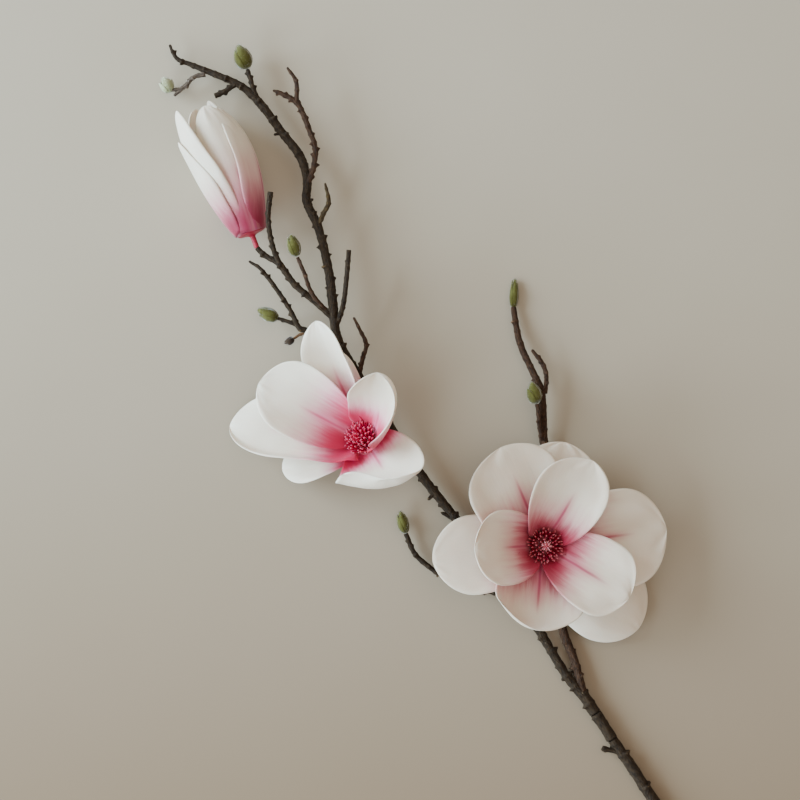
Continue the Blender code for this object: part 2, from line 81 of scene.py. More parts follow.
CLOSED_FLOWER_TWIG = [
    (-39, 48, 15.2, 3.6), (-50, 58, 17.5, 3.7), (-62, 68, 19.2, 3.6), (-71, 80, 20.0, 3.6),
    (-77, 83.6, 19.6, 3.1), (-81.4, 86.6, 18.9, 3.0), (-84.2, 89.6, 18.7, 3.0),
]
CLOSED_TWIG_ARM = [
    (-71, 80, 20.2, 3.0), (-75, 91, 24.0, 2.8), (-77, 106, 30.0, 2.8), (-75.5, 121, 33.0, 3.2),
]
SECOND_BUD_TWIG = [(-44, 53, 16.4, 2.4), (-52, 63, 22.0, 2.3), (-56, 74, 26.5, 2.2), (-60, 83.4, 27.5, 2.0)]
SIDE_TWIG = [
    (-29, 22, 12.0, 3.0), (-40, 32, 11.6, 3.0), (-55, 41, 12.0, 3.1), (-60, 43, 12.0, 3.0),
    (-65, 53, 12.6, 2.6), (-72, 64, 13.0, 2.5), (-82, 77, 13.0, 2.2), (-89, 82, 12.6, 1.4),
]
THIRD_BUD_STALK = [(-60, 44, 12.0, 2.2), (-66, 46.4, 11.6, 2.2), (-72.4, 48.4, 11.2, 2.0)]
DARK_BUD_STALK = [(-46, 36, 12.8, 1.5), (-57, 39.5, 9.4, 1.5), (-63.2, 36.6, 8.6, 1.4)]
TALL_RIGHT_TWIG = [(-38, 43, 14.8, 2.7), (-34, 54, 18.5, 2.8), (-32, 66, 22.0, 2.7), (-30, 88, 23.5, 2.6)]
SMALL_RIGHT_TWIG = [
    (-24.4, 15, 11.3, 2.6), (-22, 25, 15.0, 2.4), (-20, 33, 17.5, 2.3), (-24, 42, 19.5, 1.9),
    (-27, 48, 20.5, 1.4),
]
SIXTH_BUD_TWIG = [
    (69, -118, 4.3, 2.8), (48, -113, 3.6, 2.8), (28, -106, 3.2, 2.8), (19, -101, 3.6, 2.8),
    (9, -92, 4.4, 2.8), (3.5, -80, 5.2, 2.6),
]

# Buds: foot of the bud, its tip, and its width.
TOP_BUD = ((-91.2, 197.6, 12.1), (-96, 211, 13.0), 10.6)
CURLED_BUD = ((-137.4, 184.6, 7.4), (-141.2, 192.6, 6.6), 7.6)
SECOND_BUD = ((-60.8, 85.2, 27.6), (-64, 97, 28.0), 7.6)
THIRD_BUD = ((-73.6, 48.8, 11.1), (-85, 54, 10.6), 8.0)
RIGHT_TIP_BUD = ((67.9, 56.0, 3.0), (69, 73, 2.0), 5.0)
FIFTH_BUD = ((80.6, -1.0, 12.6), (78, 11, 13.2), 8.8)
SIXTH_BUD = ((3.0, -78.4, 5.3), (0, -66, 5.8), 6.6)
DARK_BUD = ((-64.4, 36.0, 8.5), (-69, 33.4, 8.0), 4.6)

# Flowers: seat of the petals and axis of the flower.
LARGE_SEAT = Vector((84.5, -86.0, 17.0))
LARGE_AXIS = Vector((0.12, 0.05, 1.0)).normalized()
LARGE_STALK_FOOT = (92, -87, 3.0)
MIDDLE_SEAT = Vector((-20.5, -24.5, 26.0))
MIDDLE_AXIS = Vector((-0.55, 0.25, 0.80)).normalized()
MIDDLE_STALK_FOOT = (2.5, -29, 8.4)
CLOSED_SEAT = Vector((-87.8, 99.0, 18.7))
CLOSED_AXIS = Vector((-0.349, 0.937, 0.0)).normalized()

# Petals: name, whorl, azimuth, length, width, rise at foot, middle and tip, cup, length of the midrib's
# colour, and habit. The whorls give the distance from the flower's axis and the height that petals start at.
INNER, MIDDLE, OUTER = 0, 1, 2
OPEN_WHORLS = {INNER: (8.0, 0.8), MIDDLE: (8.8, -1.2), OUTER: (9.6, -3.2)}
LARGE_PETALS = [
    ("upper_inner", INNER, 66, 59, 46, (62, 34, 22), 0.22, 40, {"skew": 0.14}),
    ("left_inner", INNER, 181, 46, 46, (54, 34, 20), 0.2, 30, {"flute": 0.9, "point": 2.6}),
    ("lower_right_inner", INNER, -33, 53, 46, (50, 22, 8), 0.22, 42, {"skew": 0.05, "point": 2.8}),
    (
        "upper_left_middle", MIDDLE, 116, 59, 58, (42, 15, 6), 0.2, 44,
        {"skew": 0.08, "base": 0.7, "spray": 1.1},
    ),
    (
        "lower_middle", MIDDLE, -98, 46, 58, (36, 14, 66), 0.3, 36,
        {"base": 0.62, "skew": -0.05, "left_curl": 3.0, "spray": 1.0},
    ),
    (
        "right_middle", MIDDLE, 8, 66, 58, (38, 8, 2), 0.2, 50,
        {"skew": -0.05, "spray": 1.2, "left_curl": -2.0, "flute": 1.5},
    ),
    ("top_outer", OUTER, 79, 54, 47, (26, 10, -4), 0.15, 30, {"flute": 1.5}),
    ("left_outer", OUTER, 187, 58, 47, (22, 4, -6), 0.1, 26, {"base": 0.66, "point": 2.0}),
    ("lower_right_outer", OUTER, -40, 69, 57, (20, -4, -20), -0.55, 30, {"skew": 0.05}),
]
MIDDLE_PETALS = [
    ("upper_left_inner", INNER, 144, 65, 47, (58, 42, 34), 0.25, 40, {"skew": -0.13}),
    (
        "right_inner", INNER, 24, 47, 35, (46, 44, 44), 0.3, 26,
        {
            "sweep": 18, "twist": 66, "skew": 0.1, "left_curl": 11.0, "spray": 0.8, "base": 0.95,
            "start": 8.0, "point": 3.6,
        },
    ),
    ("top_middle", MIDDLE, 98, 70, 31, (48, 33, 28), 0.35, 45, {"skew": 0.12, "left_curl": 2.5}),
    (
        "far_left_middle", MIDDLE, 169, 82, 43, (38, 22, 8), 0.25, 60,
        {"point": 1.8, "skew": -0.04, "right_curl": 6.0, "start": 4.0, "base": 0.85},
    ),
    (
        "lower_right_middle", MIDDLE, -53, 51, 56, (14, 18, 74), 0.3, 24,
        {
            "twist": -42, "tip_curl": 6.0, "left_curl": 3.0, "spray": 0.45, "base": 0.5, "start": 3.5,
            "skew": -0.08, "point": 2.8,
        },
    ),
    ("top_outer", OUTER, 101, 50, 22, (34, 26, 24), 0.15, 20, {}),
    ("lower_left_outer", OUTER, 190, 48, 28, (26, 10, 2), 0.15, 20, {"spray": 0.6}),
]
CLOSED = 3
CLOSED_WHORLS = {CLOSED: (9.0, 0.0)}
CLOSED_PETALS = [
    ("right_outer", CLOSED, -12, 80, 37, (72, 87, 130), 0.0, 50, {"up": -0.6}),
    (
        "front_outer", CLOSED, -66, 80, 40, (72, 88, 114), 0.0, 44,
        {"sweep": -22, "point": 1.8, "up": -0.6},
    ),
    (
        "left_outer", CLOSED, -178, 66, 38, (66, 80, 88), 0.0, 40,
        {"start": 9.2, "up": 0.0, "point": 1.8, "spray": 0.7},
    ),
    (
        "left_inner", CLOSED, -152, 83, 34, (68, 83, 99), 0.0, 30,
        {"start": 8.2, "point": 1.6, "up": -0.6, "spray": 0.7},
    ),
    ("right_inner", CLOSED, 60, 84, 26, (76, 88, 114), 0.0, 30, {"start": 6.5, "point": 1.3}),
    ("back_inner", CLOSED, 120, 82, 34, (76, 86, 100), 0.0, 30, {"start": 7.5}),
]

# A petal's habit, where its row says nothing else. Skew makes one side wider, sweep turns the petal
# round the axis along its length, twist turns it round its midrib, and spray is how far its colours
# reach. A low point is a sharp tip, and the curls lift the edges and the tip.
PLAIN_HABIT = {
    "flute": 1.0, "spray": 1.0, "skew": 0.0, "sweep": 0.0, "twist": 0.0, "point": 2.4,
    "left_curl": 0.0, "right_curl": 0.0, "tip_curl": 0.0,
}
# Shapes of petals: the foot's share of the greatest width, and how far along the petal is widest.
LARGE_OUTLINE = {"base": 0.5, "belly": 0.58}
MIDDLE_OUTLINE = {"base": 0.42, "belly": 0.58}
CLOSED_OUTLINE = {"base": 0.5, "belly": 0.45}

PETAL_ROWS = 46
PETAL_COLUMNS = 34
SPINE_STEPS = 6
PETAL_MIDDLE_THICKNESS = 1.0
PETAL_RIM_THICKNESS = 0.45
# The most that half a petal may bend, in radians, and the least radius that it bends round.
CUP_LIMIT = 1.35
LEAST_BEND_RADIUS = 4.0
# How high the waves of the rim and of the face are, and how far a curled edge draws in.
RIM_WAVE = 1.6
FACE_WAVE = 1.5
CURL_DRAW_IN = 0.35

BARK_STEP = 0.8
BARK_SIDES = 22
# A bar of bark is a little thicker than its route says, and its arm widens where it joins.
BARK_SWELL = 1.06
ARM_FLARE = 0.25
CURVE_STEPS = 24
# Scars: the share of their spacing that lies between two, and how far one reaches, in its own sizes.
KNOT_CLOSENESS = 0.55
KNOT_REACH = 3
# Ends of a bar of bark: how far out each last ring is and its share of the width.
CUT_END = ((0.12, 0.97), (0.2, 0.88), (0.16, 0.6), (0.1, 0.25))
ROUND_END_ANGLES = (0.35, 0.7, 1.05, 1.35)
SPUR_ROWS, SPUR_SIDES = 7, 10

# Crown of stamens: radius at the foot and at the tip, height of the tips, and number.
CROWN_RINGS = [(2.8, 4.4, 11.0, 11), (4.0, 6.6, 10.6, 17), (5.2, 8.8, 9.4, 23), (6.0, 10.8, 7.6, 27)]
STAMEN_WIDTHS = (0.9, 0.85, 0.95, 0.45)
STAMEN_FOOT = 2.4
# Pistil: heights and widths of its spindle, and height, number and spread of each round of stigmas.
SPINDLE_HEIGHTS = (2.8, 6.0, 9.0, 11.6)
SPINDLE_WIDTHS = (3.6, 3.8, 3.0, 1.4)
STIGMA_ROUNDS = ((6.5, 7, 2.6), (8.6, 7, 2.9), (10.4, 6, 2.7), (11.6, 3, 1.6))
STIGMA_WIDTHS = (0.75, 0.7, 0.6, 0.3)
LEAST_STRAND_WIDTH = 0.08
STRAND_STEPS = 3

# Turned bodies: radius and height at each point, from the foot up.
RECEPTACLE_PROFILE = [
    (0, -6.0), (3.2, -5.6), (6.4, -4.4), (9.2, -2.6), (9.4, -0.6), (7.4, 1.2), (5.6, 2.8), (0, 3.2),
]
PEG_PROFILE = [
    (0, -9.8), (1.45, -9.6), (1.55, -6.0), (1.7, -3.0), (3.4, -1.8), (7.6, -1.0), (8.2, 0.0), (5.0, 0.8),
    (0, 1.0),
]
TURNED_SIDES = 32
PROFILE_STEPS = 4
STALK_WIDTHS = (3.9, 3.7, 4.2, 5.0)

# A bud's foot sinks this far into its twig, and its core has this share of its width as radius.
BUD_BEDDING = 1.6
BUD_CORE = 0.46
BUD_RINGS, BUD_SIDES = 18, 24
SCALE_ROWS, SCALE_COLUMNS = 14, 12
DOWN_THICKNESS = 0.07

# Barks: name, the colour of the cracks, of the ribs and of worn places, and how much is worn.
BARKS = [
    ("dark_moulded_bark", (0.011, 0.006, 0.003), (0.046, 0.027, 0.0125), (0.16, 0.10, 0.045), 0.27),
    ("reddish_bark", (0.016, 0.0075, 0.004), (0.075, 0.035, 0.017), (0.22, 0.13, 0.075), 0.30),
    ("speckled_bark", (0.045, 0.030, 0.022), (0.16, 0.12, 0.09), (0.50, 0.46, 0.40), 0.40),
    ("golden_bark", (0.020, 0.012, 0.006), (0.085, 0.052, 0.020), (0.32, 0.25, 0.09), 0.34),
    ("thin_orange_stalk", (0.07, 0.03, 0.012), (0.22, 0.11, 0.05), (0.30, 0.19, 0.10), 0.24),
]
# Foam of the middle and the closed flower: its brighter and its darker patches. The large flower's foam
# whites are a darker copy of these, painted shade.
WHITE, WHITE_SHADE = (0.83, 0.745, 0.625), (0.74, 0.645, 0.525)

CAMERA_HEIGHT = 1133
FLOOR_SIDE = 6000
# Lights: name, place, side, power in watts and colour. Each one faces the middle of the branch.
DAYLIGHT = (0.67, 0.87, 1.0)
LIGHTS = (
    ("window_upper", (-1950, 630, 720), 1500, 128.0, DAYLIGHT),
    ("window_lower", (-1500, -1150, 690), 1300, 60.0, DAYLIGHT),
    ("warm_fill", (300, 300, 1700), 1500, 8.0, (1.0, 0.90, 0.78)),
)


class Field:
    """A value or colour that changes over a surface. Sums and products of it add their own nodes."""

    def __init__(self, finish, socket):
        self.finish = finish
        self.socket = socket

    def _maths(self, operation, *terms):
        return self.finish.node("ShaderNodeMath", {"operation": operation}, dict(enumerate(terms)))

    def __add__(self, other):
        return self._maths("ADD", self, other)

    def __radd__(self, other):
        return self._maths("ADD", other, self)

    def __sub__(self, other):
        return self._maths("SUBTRACT", self, other)

    def __rsub__(self, other):
        return self._maths("SUBTRACT", other, self)

    def __mul__(self, other):
        return self._maths("MULTIPLY", self, other)

    def __rmul__(self, other):
        return self._maths("MULTIPLY", other, self)

    def __abs__(self):
        return self._maths("ABSOLUTE", self)

    def rise(self, low, high):
        """0 below low, 1 above high, and a soft step between them."""
        ends = {"Value": self, "From Min": low, "From Max": high}
        return self.finish.node("ShaderNodeMapRange", {"interpolation_type": "SMOOTHSTEP"}, ends)


class Finish:
    """A material in the making: one main shader and the nodes that feed it."""

    def __init__(self, name, fixed):
        self.material = bpy.data.materials.new(name)
        self.material.use_nodes = True
        self.tree = self.material.node_tree
        self.shader = self.tree.nodes["Principled BSDF"]
        for socket, value in fixed.items():
            self.shader.inputs[socket].default_value = value

    def node(self, kind, settings, sockets, output=0):
        """Any node, with its settings made first and its sockets filled or linked after."""
        made = self.tree.nodes.new(kind)
        for setting, value in settings.items():
            setattr(made, setting, value)
        for socket, value in sockets.items():
            if isinstance(value, Field):
                self.tree.links.new(value.socket, made.inputs[socket])
            else:
                made.inputs[socket].default_value = value
        return Field(self, made.outputs[output])

    def attribute(self, name, output="Fac"):
        return self.node("ShaderNodeAttribute", {"attribute_name": name}, {}, output)

    def place(self):
        return self.node("ShaderNodeTexCoord", {}, {}, "Object")

    def grain(self, where, scale, detail=4.0, roughness=0.55):
        sockets = {"Vector": where, "Scale": scale, "Detail": detail, "Roughness": roughness}
        return self.node("ShaderNodeTexNoise", {}, sockets, "Fac")

    def joined(self, x, y, z):
        return self.node("ShaderNodeCombineXYZ", {}, {"X": x, "Y": y, "Z": z})

    def blend(self, share, low, high):
        """A colour between low and high. Each of them is a colour of three numbers or a Field."""
        ends = [end if isinstance(end, Field) else (*end, 1.0) for end in (low, high)]
        sockets = {0: share, 6: ends[0], 7: ends[1]}
        return self.node("ShaderNodeMix", {"data_type": "RGBA"}, sockets, 2)

    def relief(self, height, depth, under=None):
        """Bumps of the given depth in metres, over others where under is given."""
        sockets = {"Height": height, "Distance": depth, "Strength": 1.0}
        if under:
            sockets["Normal"] = under
        return self.node("ShaderNodeBump", {}, sockets)

    def done(self, varied):
        for socket, field in varied.items():
            self.tree.links.new(field.socket, self.shader.inputs[socket])
        return self.material


def petal_finish(name, heart, crimson_reach, blush, blush_reach, white, shade, rib_colour):
    """Thin coated foam: off-white, sprayed crimson and pink at its foot, with a fine coloured midrib, and a
    painted highlight that makes its rim whiter.
    """
    finish = Finish(name, {
        "Roughness": 0.52, "Subsurface Weight": 0.22, "Subsurface Radius": (1.0, 0.62, 0.52),
        "Subsurface Scale": 0.0016, "Sheen Weight": 0.12, "Sheen Roughness": 0.6, "Specular IOR Level": 0.32,
    })
    from_foot = finish.attribute("from_foot")
    off_rib = finish.attribute("off_rib")
    rib_share = finish.attribute("rib_share")
    to_rim = finish.attribute("to_rim")
    seed = finish.attribute("seed")
    place = finish.place()

    streak = finish.grain(finish.joined(off_rib * 0.42, from_foot * 0.04, seed), 1.0, 4.0, 0.62)
    cloud = finish.grain(place, 28.0, 2.0)
    fine = finish.grain(place, 900.0, 3.0)
    ragged = from_foot + (streak - 0.5) * 14.0 + (cloud - 0.5) * 8.0

    body = finish.blend(cloud.rise(0.3, 0.7), shade, white)
    # Painted highlight: the rim is painted whiter, standing in for light that glows through the thin edge.
    body = finish.blend(0.2 * (1 - to_rim.rise(0.0, 0.1)), body, white)
    blushed = finish.blend(1 - ragged.rise(*blush_reach), body, blush)
    heart_share = 1 - ragged.rise(*crimson_reach)
    sprayed = finish.blend(heart_share, blushed, heart)

    rib_left = 1 - rib_share.rise(0.55, 1.0)
    halo = (1 - abs(off_rib).rise(0.0, 5.0)) * rib_left * 0.85 * streak.rise(0.1, 0.7)
    haloed = finish.blend(halo, sprayed, blush)
    wander = abs(off_rib + (cloud - 0.5) * 1.2)
    core = (1 - wander.rise(0.15, 1.3)) * rib_left
    ribbed = finish.blend(core * 0.7, haloed, rib_colour)
    skin = finish.relief(fine, 0.00004, finish.relief(streak, 0.0001))
    return finish.done({"Base Color": ribbed, "Normal": skin, "Roughness": 0.46 + 0.14 * fine})


def bark_finish(name, dark, light, worn, worn_share):
    """Moulded bark: dark, rough and ribbed along the twig, with paler specks and worn high places."""
    finish = Finish(name, {"Roughness": 0.8, "Specular IOR Level": 0.22})
    way = finish.attribute("bark_way", "Vector")
    high = finish.attribute("bark_high")
    stretched = finish.node("ShaderNodeMapping", {}, {"Vector": way, "Scale": (1.0, 1.0, 0.28)})
    fibre = finish.grain(stretched, 1.4, 5.0, 0.62)
    patch = finish.grain(way, 0.16, 3.0)
    speck = finish.grain(way, 1.1, 2.0)
    cell = {"Vector": stretched, "Scale": 0.9}
    crack = finish.node("ShaderNodeTexVoronoi", {"feature": "DISTANCE_TO_EDGE"}, cell)
    body = finish.blend(fibre.rise(0.32, 0.72), dark, light)
    rubbed = (patch + (speck - 0.5) * 0.5 + high * 0.18).rise(1.0 - worn_share, 1.12 - worn_share)
    body = finish.blend(rubbed, body, worn)
    lenticel = speck.rise(0.66, 0.72) * fibre.rise(0.4, 0.6) * 0.55
    body = finish.blend(lenticel, body, (0.20, 0.15, 0.10))
    coarse = finish.relief(crack.rise(0.0, 0.25), 0.00018)
    skin = finish.relief(fibre, 0.0006, coarse)
    return finish.done({"Base Color": body, "Normal": skin, "Roughness": 0.62 + 0.3 * fibre})


def down_finish(name, green, pale):
    """Green flock over the scales of a bud, paler towards the tip and where the down is thick."""
    finish = Finish(name, {
        "Roughness": 0.95, "Sheen Weight": 1.0, "Sheen Roughness": 0.35, "Specular IOR Level": 0.15,
    })
    place = finish.place()
    tuft = finish.grain(place, 750.0, 4.0, 0.7)
    patch = finish.grain(place, 160.0, 3.0)
    up = finish.attribute("up_bud")
    share = (tuft - 0.4) * 0.6 + (patch - 0.5) * 0.5 + up * 0.3
    body = finish.blend(share.rise(0.0, 0.7), green, pale)
    return finish.done({"Base Color": body, "Normal": finish.relief(tuft, 0.0004)})


def strand_finish(name, foot, tip, turn_over):
    """Fine moulded strands: dark at the foot, pale at the tip."""
    finish = Finish(name, {
        "Roughness": 0.42, "Subsurface Weight": 0.1, "Subsurface Scale": 0.0006, "Specular IOR Level": 0.45,
    })
    along = finish.attribute("along")
    speck = finish.grain(finish.place(), 800.0, 3.0)
    share = (along + (speck - 0.5) * 0.3).rise(*turn_over)
    body = finish.blend(share, foot, tip)
    return finish.done({"Base Color": body, "Normal": finish.relief(speck, 0.00008)})


def heart_finish(name, deep, bright):
    """Dyed plastic of the peg and receptacle, with a slight mould grain."""
    finish = Finish(name, {"Roughness": 0.45, "Subsurface Weight": 0.1, "Subsurface Scale": 0.001})
    grain = finish.grain(finish.place(), 500.0, 4.0)
    body = finish.blend(grain.rise(0.3, 0.7), deep, bright)
    skin = finish.relief(grain, 0.00012)
    return finish.done({"Base Color": body, "Normal": skin, "Roughness": 0.36 + 0.2 * grain})


def floor_finish():
    """The matt table, faintly mottled, with painted shade that makes it warmer and darker towards the foot
    of the stem.
    """
    finish = Finish("pale_table", {"Roughness": 0.9, "Specular IOR Level": 0.2})
    place = finish.place()
    mottle = finish.grain(place, 6.0, 3.0)
    pale = finish.blend(mottle.rise(0.2, 0.8), (0.452, 0.388, 0.300), (0.472, 0.408, 0.320))
    along = finish.node("ShaderNodeSeparateXYZ", {}, {"Vector": place}, "Y")
    # Painted shade: the table is painted warmer and darker towards the foot of the stem, standing in for
    # light that falls off across it.
    return finish.done({"Base Color": finish.blend(along.rise(0.30, -0.42), pale, (0.222, 0.148, 0.088))})


def add_piece(name, places, faces, material, attributes=None):
    """A named mesh from places in millimetres, with attributes of a number or a vector for each place."""
    mesh = bpy.data.meshes.new(name)
    grounded = [Vector((place.x, place.y, max(place.z, 0.0))) for place in places]
    mesh.from_pydata([(place + PLACE) * MM for place in grounded], [], faces)
    mesh.update()
    for attribute, values in (attributes or {}).items():
        if isinstance(values[0], (int, float)):
            mesh.attributes.new(attribute, "FLOAT", "POINT").data.foreach_set("value", values)
        else:
            flat = [number for value in values for number in value]
            mesh.attributes.new(attribute, "FLOAT_VECTOR", "POINT").data.foreach_set("vector", flat)
    mesh.shade_smooth()
    mesh.materials.append(material)
    piece = bpy.data.objects.new(name, mesh)
    bpy.context.scene.collection.objects.link(piece)
    return piece


def kept_on_frame(piece, node):
    """Fixes a piece to the frame in place of one of its nodes."""
    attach(piece, "root")
    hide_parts(node)


def ring_faces(rows, count):
    """Faces of a closed bar whose rings of count places follow one another, with a fan at each end."""
    faces = []
    for i in range(rows - 1):
        for k in range(count):
            a, b = i * count + k, i * count + (k + 1) % count
            faces.append((a, b, b + count, a + count))
    faces.append(tuple(reversed(range(count))))
    faces.append(tuple(range((rows - 1) * count, rows * count)))
    return faces


def around(turn, zero, ninety):
    """The direction at a turn in radians, from the directions at 0 and at 90 degrees."""
    return cos(turn) * zero + sin(turn) * ninety


def catmull(a, b, c, d, t):
    """The point at t between b and c on the smooth curve through four points."""
    straight = 2 * b + (c - a) * t
    return 0.5 * (straight + (2 * a - 5 * b + 4 * c - d) * t * t + (3 * b - a - 3 * c + d) * t ** 3)


def smooth_line(points, steps):
    """Points on the smooth curve through the given ones, in steps from each to the next."""
    padded = [2 * points[0] - points[1], *points, 2 * points[-1] - points[-2]]
    line = []
    for i in range(len(points) - 1):
        for k in range(steps):
            line.append(catmull(*padded[i : i + 4], k / steps))
    line.append(points[-1])
    return line


def carried_side(side, tangent):
    """A direction across the tangent, as near to the last one as can be."""
    if side is None:
        return tangent.orthogonal().normalized()
    return (side - side.dot(tangent) * tangent).normalized()


def stations_of(route, step):
    """Evenly spaced stations on a route's smooth curve: place, tangent, side, radius and run."""
    dense = smooth_line([Vector(point) for point in route], CURVE_STEPS)
    runs = [0.0]
    for low, high in zip(dense, dense[1:]):
        runs.append(runs[-1] + (high.to_3d() - low.to_3d()).length)
    count = max(3, round(runs[-1] / step))
    picked, at = [], 0
    for k in range(count + 1):
        run = runs[-1] * k / count
        while at < len(runs) - 2 and runs[at + 1] < run:
            at += 1
        share = (run - runs[at]) / max(runs[at + 1] - runs[at], 1e-9)
        picked.append((dense[at].lerp(dense[at + 1], share), run))
    places = [point.to_3d() for point, _ in picked]
    stations = []
    side = None
    for i, (point, run) in enumerate(picked):
        tangent = (places[min(i + 1, count)] - places[max(i - 1, 0)]).normalized()
        side = carried_side(side, tangent)
        stations.append((places[i], tangent, side, point[3] / 2, run))
    return stations


def knots_along(length, dice, spacing, height):
    """Leaf scars: run, turn, height and size of each raised knot, on one side and then the other."""
    knots = []
    run = dice.uniform(0.3, 0.8) * spacing
    turn = dice.uniform(0, 2 * pi)
    while run < length - 1.5:
        knots.append((run, turn, height * dice.uniform(1.4, 3.0), dice.uniform(0.7, 1.2)))
        turn += pi + dice.uniform(-0.7, 0.7)
        run += KNOT_CLOSENESS * spacing * dice.uniform(0.7, 1.35)
    return knots


def bark_lump(way, radius, run, turn, knots):
    """How far the bark stands out at a place, and how much of a scar is there."""
    lump = 0.10 * radius * noise.noise(way * 0.35)
    lump += 0.07 * radius * noise.noise(Vector((way.x * 1.6, way.y * 1.6, way.z * 0.45)))
    high = 0.0
    for knot_run, knot_turn, height, size in knots:
        down = (run - knot_run) / size
        if abs(down) > KNOT_REACH:
            continue
        round_bar = (turn - knot_turn + pi) % (2 * pi) - pi
        scar = exp(-(down * (2.0 if down > 0 else 0.75)) ** 2) * exp(-(round_bar / 0.65) ** 2)
        band = 0.22 * exp(-(down * 1.5) ** 2)
        hollow = 0.35 * exp(-(down - 1.3) ** 2 * 2) * exp(-(round_bar / 0.6) ** 2)
        lump += height * (scar + band - hollow)
        high += scar
    return lump, high


def end_rings(station, tip):
    """The last rings of a bar of bark, which close it with a round or a cut end."""
    place, tangent, side, radius, run = station
    swollen = radius * BARK_SWELL
    if tip == "round":
        return [
            (place + tangent * radius * 1.3 * sin(angle), tangent, side, swollen, run, cos(angle))
            for angle in ROUND_END_ANGLES
        ]
    return [(place + tangent * out, tangent, side, swollen, run, share) for out, share in CUT_END]


def bark_bar(places, faces, ways, highs, route, dice, knot_spacing, knot_height, flare, tip):
    """Adds one closed bar of bark to the lists: knotted, ribbed, a little crooked, with a dressed end."""
    stations = stations_of(route, BARK_STEP)
    knots = knots_along(stations[-1][4], dice, knot_spacing, knot_height)
    shift = dice.uniform(0, 500)
    rings = []
    for place, tangent, side, radius, run in stations:
        rings.append((place, tangent, side, radius * BARK_SWELL, run, 1.0))
    rings += end_rings(stations[-1], tip)
    first = len(places)
    for place, tangent, side, radius, run, share in rings:
        foot_flare = flare * radius * exp(-(run / 2.2) ** 2)
        for k in range(BARK_SIDES):
            turn = 2 * pi * k / BARK_SIDES
            way = Vector((cos(turn) * radius, sin(turn) * radius, run + shift))
            lump, high = bark_lump(way, radius, run, turn, knots)
            out = around(turn, side, tangent.cross(side))
            places.append(place + out * (radius + lump + foot_flare) * share)
            ways.append(way)
            highs.append(high)
    faces.extend(tuple(first + corner for corner in face) for face in ring_faces(len(rings), BARK_SIDES))


def spur(places, faces, ways, highs, foot, towards, length, width, dice):
    """Adds a short broken spur: a tapered peg with a ragged end, bedded in the bark at its foot."""
    foot, towards = Vector(foot), Vector(towards).normalized()
    side = towards.orthogonal().normalized()
    other = towards.cross(side)
    first = len(places)
    shift = dice.uniform(0, 500)
    for i in range(SPUR_ROWS):
        share = i / (SPUR_ROWS - 1)
        radius = width / 2 * (1.25 - 0.55 * share) * (0.35 if i == SPUR_ROWS - 1 else 1.0)
        for k in range(SPUR_SIDES):
            turn = 2 * pi * k / SPUR_SIDES
            rough = 1 + 0.16 * noise.noise(Vector((cos(turn) * 2, sin(turn) * 2, i * 0.7 + shift)))
            places.append(foot + towards * length * share + around(turn, side, other) * radius * rough)
            ways.append(Vector((cos(turn) * radius, sin(turn) * radius, share * length + shift)))
            highs.append(share)
    faces.extend(tuple(first + corner for corner in face) for face in ring_faces(SPUR_ROWS, SPUR_SIDES))


def twig(name, route, material, seed, knots, flare=0.3, tip="cut", arm=None, spurs=()):
    """A moulded branch piece with its arm and its spurs. Knots are their spacing and their height."""
    dice = random.Random(seed)
    lists = places, faces, ways, highs = [], [], [], []
    bark_bar(*lists, route, dice, *knots, flare, tip)
    if arm:
        bark_bar(*lists, arm, dice, *knots, ARM_FLARE, tip)
    for foot, towards, length, width in spurs:
        spur(*lists, foot, towards, length, width, dice)
    piece = add_piece(name + "_bark", places, faces, material, {"bark_way": ways, "bark_high": highs})
    kept_on_frame(piece, name)


def flower_axes(axis):
    """Directions of azimuth 0 and 90 degrees round a flower's axis."""
    right = Vector((1.0, 0.0, 0.0))
    zero = (right - right.dot(axis) * axis).normalized()
    return zero, axis.cross(zero)


def outline(s, base, belly, point):
    """A petal's half width at s of its length, as a share of its greatest half width."""
    if s < belly:
        return base + (1 - base) * sin(pi / 2 * (s / belly) ** 0.8)
    share = (s - belly) / (1 - belly)
    return max(0.03, (1 - share ** point) ** 0.6)


def rise_at(rise, s):
    """The petal's slope in radians at s, through its values at the foot, the middle and the tip."""
    foot, middle, tip = (radians(value) for value in rise)
    return foot * (2 * s - 1) * (s - 1) + middle * 4 * s * (1 - s) + tip * s * (2 * s - 1)


def soft_step(value, low, high):
    """0 below low and 1 above high, with a soft rise between."""
    share = min(1.0, max(0.0, (value - low) / (high - low)))
    return share * share * (3 - 2 * share)


def petal_spine(length, rise, radius, height):
    """The midrib: share of the length, distance from the flower's axis and height, at each row."""
    spine = []
    walked = 0.0
    for i in range(PETAL_ROWS + 1):
        s = sin(pi / 2 * i / PETAL_ROWS)
        step = (s - walked) * length / SPINE_STEPS
        for k in range(SPINE_STEPS):
            slope = rise_at(rise, walked + (s - walked) * (k + 0.5) / SPINE_STEPS)
            radius += step * cos(slope)
            height += step * sin(slope)
        walked = s
        spine.append((s, radius, height))
    return spine


def petal_bend(reach, slope, radius, cup, widest):
    """A cupped petal's bend at a reach from the midrib, with the way sideways and up that it gives."""
    bend = reach * sin(slope) / max(radius, LEAST_BEND_RADIUS) + cup * reach / widest
    bend = max(-CUP_LIMIT, min(CUP_LIMIT, bend))
    if abs(bend) < 0.001:
        return bend, reach, 0.0
    return bend, reach / bend * sin(bend), reach / bend * (1 - cos(bend))


def petal_waves(t, s, shift, flute, body_share):
    """The fine flutes of a petal's rim and the broad waves of its face, as two heights."""
    rim = max(abs(t) ** 2 * soft_step(s, 0.15, 0.5), soft_step(s, 0.75, 1.0))
    ripple = noise.noise(Vector((t * 1.6, s * 2.2, 0)) + shift)
    ripple += 0.5 * noise.noise(Vector((t * 4, s * 5, 3)) + shift)
    swell = noise.noise(Vector((t * 1.3, s * 1.7, 7)) + shift)
    return (
        flute * rim * ripple * RIM_WAVE * body_share,
        flute * FACE_WAVE * swell * soft_step(s, 0.1, 0.4) * body_share,
    )


